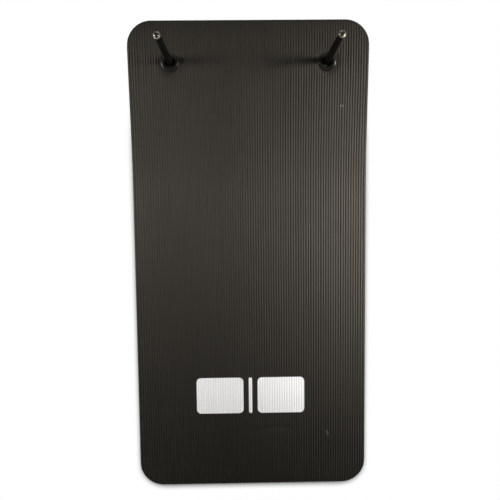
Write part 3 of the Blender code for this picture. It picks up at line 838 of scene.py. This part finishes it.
def make_foam_mat(material):
    """The ribbed face, the rounded and cut edge, and the plain back as one closed skin."""
    rows = row_heights()
    quad_columns, quad_rows, rib = mould_ribs(rows, material)
    last_column, last_row = RIB_COUNT * RIB_STEPS, len(rows) - 1

    # Width and height of each point of the face, inside the round corners
    half = MAT_WIDTH / 2 - MAT_EDGE_RADIUS
    corner = MAT_CORNER_RADIUS - MAT_EDGE_RADIUS
    across = np.linspace(-half, half, last_column + 1)
    into = np.maximum(np.abs(across) - (MAT_WIDTH / 2 - MAT_CORNER_RADIUS), 0)
    cut = corner - np.sqrt(np.maximum(corner ** 2 - into ** 2, 0))
    share = (rows - rows[0]) / (rows[-1] - rows[0])
    low = rows[0] + cut
    high = rows[-1] - cut
    height = low[:, None] + share[None, :] * (high - low)[:, None]
    width = np.repeat(across[:, None], len(rows), axis=1)
    index = np.arange(width.size).reshape(width.shape)
    points = [to_space(width, height, front_height(width, height, rib)).reshape(-1, 3)]
    faces = index[quad_columns, quad_rows].tolist()

    # The way round the edge: foot, right side, top, left side
    way = [(i, 0) for i in range(last_column + 1)]
    way += [(last_column, j) for j in range(1, last_row + 1)]
    way += [(i, last_row) for i in range(last_column - 1, -1, -1)]
    way += [(0, j) for j in range(last_row - 1, 0, -1)]
    way_i, way_j = np.array(way).T
    edge_x = width[way_i, way_j]
    edge_z = height[way_i, way_j]
    out_x = np.clip(into[way_i] / corner, 0, 1) * np.sign(across[way_i])
    out_z = np.sqrt(np.maximum(1 - out_x ** 2, 0)) * np.where(way_j == 0, -1.0, 1.0)
    side = ((way_i == 0) | (way_i == last_column)) & (way_j > 0) & (way_j < last_row)
    out_z[side] = 0.0
    front_edge = front_height(edge_x, edge_z, rib[way_i, way_j])
    back_edge = back_height(edge_x, edge_z)
    total = width.size
    before = index[way_i, way_j]
    for outward, thickness in edge_steps(front_edge, back_edge):
        points.append(to_space(edge_x + out_x * outward, edge_z + out_z * outward, thickness))
        ring = np.arange(total, total + len(way))
        total += len(way)
        faces += np.stack([before, ring, np.roll(ring, -1), np.roll(before, -1)], axis=1).tolist()
        before = ring

    back_points, back_faces = plain_back(width, height, dict(zip(way, before.tolist())), total)
    points.append(back_points)
    faces += back_faces
    everything = np.concatenate(points)
    mat = new_piece("foam_mat_ribbed", everything, faces, material)

    # Where the moulded face ends and the cut face begins
    ribbed = np.zeros(len(everything))
    ribbed[:width.size] = 1.0
    first_ring = len(FRONT_EDGE_TURNS) - 1
    last_ring = len(FRONT_EDGE_TURNS) + len(CUT_FACE_SHARES)
    edge = np.zeros(len(everything))
    edge[width.size + first_ring * len(way):width.size + (last_ring + 1) * len(way)] = 1.0
    for name, values in (("ribbed_face", ribbed), ("cut_edge", edge)):
        mat.data.attributes.new(name, "FLOAT", "POINT").data.foreach_set("value", values)
    face_outwards(mat, weld=False)
    cut_bores(mat)
    dress(mat, MAT_BODY, "foam", "foam_mat")


def eyelet_matrix(side):
    return (Matrix.Translation((side * PEG_X, EYELET_Y, EYELET_Z))
            @ Matrix.Rotation(math.radians(90) + EYELET_LEAN, 4, "X"))


def cut_bores(mat):
    """The two holes for the eyelets' barrels."""
    hole = BARREL_RADIUS + SEAT_GAP
    reach = MAT_THICKNESS
    cutters = []
    for side, word in SIDES:
        profile = [(0, reach), (hole, reach), (hole, -reach), (0, -reach)]
        cutter = turned_piece(word + "_bore", profile, eyelet_matrix(side), mat.data.materials[0],
                              closed=False, sides=BORE_SIDES)
        cutters.append(cutter)
        boolean = mat.modifiers.new(word + "_bore", "BOOLEAN")
        boolean.operation = "DIFFERENCE"
        boolean.solver = "EXACT"
        boolean.object = cutter
    bpy.context.view_layer.update()
    cut = bpy.data.meshes.new_from_object(mat.evaluated_get(bpy.context.evaluated_depsgraph_get()))
    mat.modifiers.clear()
    mat.data = cut
    mat.data.name = mat.name
    for cutter in cutters:
        bpy.data.objects.remove(cutter, do_unlink=True)


# Eyelets


def make_eyelet_front(side, word, material):
    """Domed flange with a rolled outer edge, the barrel, and the lip turned over at the back."""
    middle = (EYELET_FLANGE_RADIUS + EYELET_BORE_RADIUS) / 2
    half = (EYELET_FLANGE_RADIUS - EYELET_BORE_RADIUS) / 2
    lip_top = -(SEAT_HEIGHT + EYELET_RING_THICKNESS + SEAT_GAP)
    lip_radius = BARREL_RADIUS + EYELET_LIP_WIDTH
    lip_middle = (lip_radius + EYELET_BORE_RADIUS) / 2
    lip_half = (lip_radius - EYELET_BORE_RADIUS) / 2
    profile = arc((middle, SEAT_HEIGHT), half, EYELET_DOME_HEIGHT, 180, 0, EYELET_DOME_STEPS)
    profile += [(BARREL_RADIUS + BARREL_ROOT_BEVEL, SEAT_HEIGHT),
                (BARREL_RADIUS, SEAT_HEIGHT - BARREL_ROOT_BEVEL), (BARREL_RADIUS, lip_top)]
    profile += arc((lip_middle, lip_top), lip_half, EYELET_LIP_THICKNESS, 0, -180, EYELET_LIP_STEPS)
    obj = turned_piece(word + "_eyelet_front_turned", profile, eyelet_matrix(side), material)
    dress(obj, MAT_BODY, "enamel", word + "_eyelet_front")


def make_eyelet_back(side, word, material):
    """The ring behind the foam that the front's lip clamps."""
    hole = BARREL_RADIUS + SEAT_GAP
    bottom = -(SEAT_HEIGHT + EYELET_RING_THICKNESS)
    edge = RING_EDGE_RADIUS
    profile = [(hole, -SEAT_HEIGHT), (EYELET_FLANGE_RADIUS, -SEAT_HEIGHT)]
    profile += arc((EYELET_FLANGE_RADIUS - edge, bottom + edge), edge, edge, 0, -90, RING_EDGE_STEPS)
    profile += [(hole + RING_BORE_BEVEL, bottom), (hole, bottom + RING_BORE_BEVEL)]
    obj = turned_piece(word + "_eyelet_back_turned", profile, eyelet_matrix(side), material)
    dress(obj, MAT_BODY, "enamel", word + "_eyelet_back")


# Pegs and rail


def peg_matrix(side):
    return Matrix.Translation((side * PEG_X, 0, 0)) @ Matrix.Rotation(math.radians(90), 4, "X")


def make_peg(side, word, coated, bright, plug):
    """The coated tube, the bright bush in its end and the domed plug."""
    place = peg_matrix(side)
    bore = PEG_RADIUS - PEG_WALL
    back = RAIL_WALL + SEAT_GAP
    rim_back = PEG_FRONT - FERRULE_RIM_LENGTH
    front = rim_back - SEAT_GAP
    lengths = np.linspace(front - PEG_EDGE_BEVEL, back + PEG_EDGE_BEVEL, PEG_ROWS)
    profile = [(bore, front), (PEG_RADIUS - PEG_EDGE_BEVEL, front)]
    profile += [(PEG_RADIUS, float(length)) for length in lengths]
    profile += [(PEG_RADIUS - PEG_EDGE_BEVEL, back), (bore, back)]
    tube = turned_piece(word + "_peg_tube_turned", profile, place, coated)
    dress(tube, RACK_BODY, "coated_steel", word + "_peg_tube")

    spigot = bore - SEAT_GAP
    spigot_back = rim_back - FERRULE_SPIGOT_LENGTH
    edge = FERRULE_EDGE_RADIUS
    neck = PEG_RADIUS - FERRULE_NECK_DEPTH
    profile = [(FERRULE_BORE_RADIUS, PEG_FRONT), (PLUG_HEAD_RADIUS + PLUG_RIM_GAP, PEG_FRONT)]
    profile += arc((PEG_RADIUS - edge, PEG_FRONT - edge), edge, edge, 90, 0, FERRULE_EDGE_STEPS)
    profile += [(PEG_RADIUS, rim_back + FERRULE_NECK_SHOULDER), (neck, rim_back + FERRULE_NECK_LENGTH),
                (neck, rim_back), (spigot, rim_back),
                (spigot, spigot_back), (FERRULE_BORE_RADIUS, spigot_back)]
    bush = turned_piece(word + "_peg_ferrule_turned", profile, place, bright, crease=FERRULE_CREASE)
    dress(bush, RACK_BODY, "bright_steel", word + "_peg_ferrule")

    seat = PEG_FRONT + SEAT_GAP
    stem = FERRULE_BORE_RADIUS - SEAT_GAP
    stem_back = seat - PLUG_STEM_LENGTH
    flat = 2 / PLUG_DOME_POWER
    profile = [(PLUG_HEAD_RADIUS * max(across, 0.0) ** flat,
                seat + PLUG_DOME_HEIGHT * max(up, 0.0) ** flat)
               for across, up in arc((0, 0), 1, 1, 90, 0, PLUG_DOME_STEPS)]
    profile[0] = (0.0, seat + PLUG_DOME_HEIGHT)
    profile[-1] = (PLUG_HEAD_RADIUS, seat)
    profile += [(stem, seat), (stem, stem_back + PLUG_STEM_BEVEL),
                (stem - PLUG_STEM_BEVEL, stem_back), (0.0, stem_back)]
    head = turned_piece(word + "_peg_plug_turned", profile, place, plug, closed=False)
    dress(head, RACK_BODY, "plug_plastic", word + "_peg_plug")


def paint_node(name, material):
    """A finish for a piece whose solid is kept as it is."""
    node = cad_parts[name]
    if node.material_slots:
        for held in node.material_slots:
            held.material = material
    else:
        node.data.materials.append(material)


# Studio


def make_floor():
    size = FLOOR_HALF_WIDTH
    corners = [(-size, -size, FLOOR_LEVEL), (size, -size, FLOOR_LEVEL),
               (size, size, FLOOR_LEVEL), (-size, size, FLOOR_LEVEL)]
    obj = new_piece("studio_floor", corners, [(0, 1, 2, 3)], floor_finish(), smooth=False)


def make_wall():
    """A sheet just behind the rail that only carries the shadow, and doesn't change the light."""
    side = MAT_WIDTH / 2 + WALL_MARGIN
    low = MAT_BOTTOM - WALL_MARGIN
    high = MAT_TOP + WALL_MARGIN
    corners = [(-side, WALL_BACK, low), (side, WALL_BACK, low),
               (side, WALL_BACK, high), (-side, WALL_BACK, high)]
    obj = new_piece("studio_wall", corners, [(0, 1, 2, 3)], wall_finish(), smooth=False)
    obj.visible_diffuse = False
    obj.visible_glossy = False
    obj.visible_shadow = False


def soft_lamp(name, place, aim, size, power, spread=180.0, colour=STUDIO_WHITE):
    light = bpy.data.lights.new(name, "AREA")
    light.shape = "DISK"
    light.size = size
    light.energy = power
    light.color = colour
    light.spread = math.radians(spread)
    lamp = bpy.data.objects.new(name, light)
    lamp.location = place
    lamp.rotation_mode = "QUATERNION"
    lamp.rotation_quaternion = (Vector(aim) - Vector(place)).to_track_quat("-Z", "Y")
    bpy.context.scene.collection.objects.link(lamp)


def make_lamps():
    """Each side has a lamp level with the pegs whose beam falls off down the mat, and at its place a
    weaker one that is aimed higher. One more lamp is above, and two are behind."""
    left = (-1.246, -1.514, -0.04)
    right = (2.170, -2.600, -0.04)
    soft_lamp("left_lamp", left, aim=(-0.895, 0, -0.494), size=0.45, power=8.40, spread=60.0)
    soft_lamp("left_wide_lamp", left, aim=(0.1, 0, 0.16), size=0.45, power=0.62, spread=40.0)
    soft_lamp("right_lamp", right, aim=(0.764, 0, -0.489), size=0.70, power=9.40, spread=25.5)
    soft_lamp("right_wide_lamp", right, aim=(-0.1, 0, -0.06), size=0.70, power=5.80, spread=62.0)
    soft_lamp("top_lamp", (0.0, -1.0, 1.6), aim=(0, -0.2, 0), size=0.60, power=5.0, colour=TOP_LAMP_WARM)
    soft_lamp("back_left_lamp", (-1.2, 1.5, 0.5), aim=(0, 0, -0.4), size=1.2, power=12.0)
    soft_lamp("back_right_lamp", (1.3, 1.4, 0.1), aim=(0, 0, -0.5), size=1.0, power=7.0)


def make_world():
    """White for the camera, a dim warm room for everything that lights the object."""
    world = bpy.data.worlds.new("studio")
    bpy.context.scene.world = world
    world.use_nodes = True
    tree = world.node_tree
    tree.nodes.clear()
    output = tree.nodes.new("ShaderNodeOutputWorld")
    room = tree.nodes.new("ShaderNodeBackground")
    room.inputs["Color"].default_value = ROOM_COLOUR
    room.inputs["Strength"].default_value = ROOM_STRENGTH
    white = tree.nodes.new("ShaderNodeBackground")
    white.inputs["Color"].default_value = (1, 1, 1, 1)
    white.inputs["Strength"].default_value = 1.0
    path = tree.nodes.new("ShaderNodeLightPath").outputs
    seen = add_math(tree, "MAXIMUM", path["Is Camera Ray"], path["Is Transmission Ray"])
    blend = tree.nodes.new("ShaderNodeMixShader")
    tree.links.new(seen, blend.inputs["Fac"])
    tree.links.new(room.outputs["Background"], blend.inputs[1])
    tree.links.new(white.outputs["Background"], blend.inputs[2])
    tree.links.new(blend.outputs["Shader"], output.inputs["Surface"])


def make_camera():
    data = bpy.data.cameras.new("photo_camera")
    data.sensor_width = SENSOR_WIDTH
    data.lens = FOCAL_PIXELS * SENSOR_WIDTH / PHOTO_PIXELS
    data.clip_start = CLIP_START
    data.clip_end = CLIP_END
    camera = bpy.data.objects.new("photo_camera", data)
    camera.rotation_mode = "QUATERNION"
    turn = (Matrix.Rotation(-CAMERA_YAW, 3, "Z") @ Matrix.Rotation(math.radians(90) - CAMERA_PITCH, 3, "X")
            @ Matrix.Rotation(CAMERA_ROLL, 3, "Z"))
    camera.rotation_quaternion = turn.to_quaternion()
    camera.location = CAMERA_PLACE
    bpy.context.scene.collection.objects.link(camera)
    bpy.context.scene.camera = camera


def main():
    bpy.context.scene.view_settings.view_transform = "Standard"
    make_camera()
    make_world()
    make_lamps()
    make_floor()
    make_wall()

    foam = foam_finish()
    enamel = coated_finish("black_enamel", ENAMEL_DARK, ENAMEL_LIGHT, low_rough=0.16, high_rough=0.26,
                           grain=700.0, peel=0.00002, shine=0.22)
    coated = coated_finish("black_powder_coat", COAT_DARK, COAT_LIGHT, low_rough=0.50, high_rough=0.62,
                           grain=1400.0, peel=0.00006, shine=0.28)
    bright = bright_finish()
    plug = moulded_finish("gloss_black_plastic", PLUG_DARK, PLUG_LIGHT, low_rough=0.16, high_rough=0.22,
                          grain=900.0, depth=0.00001, shine=1.0, refraction=PLUG_REFRACTION)
    cap = moulded_finish("matt_black_plastic", CAP_DARK, CAP_LIGHT, low_rough=0.50, high_rough=0.62,
                         grain=1100.0, depth=0.00004, shine=0.5, refraction=1.5)
    zinc = zinc_finish()

    make_foam_mat(foam)
    for side, word in SIDES:
        make_eyelet_front(side, word, enamel)
        make_eyelet_back(side, word, enamel)
        make_peg(side, word, coated, bright, plug)
        paint_node(word + "_rail_cap", cap)
        paint_node(word + "_peg_insert", zinc)
        paint_node(word + "_peg_screw", zinc)
    paint_node("wall_rail", coated)


main()
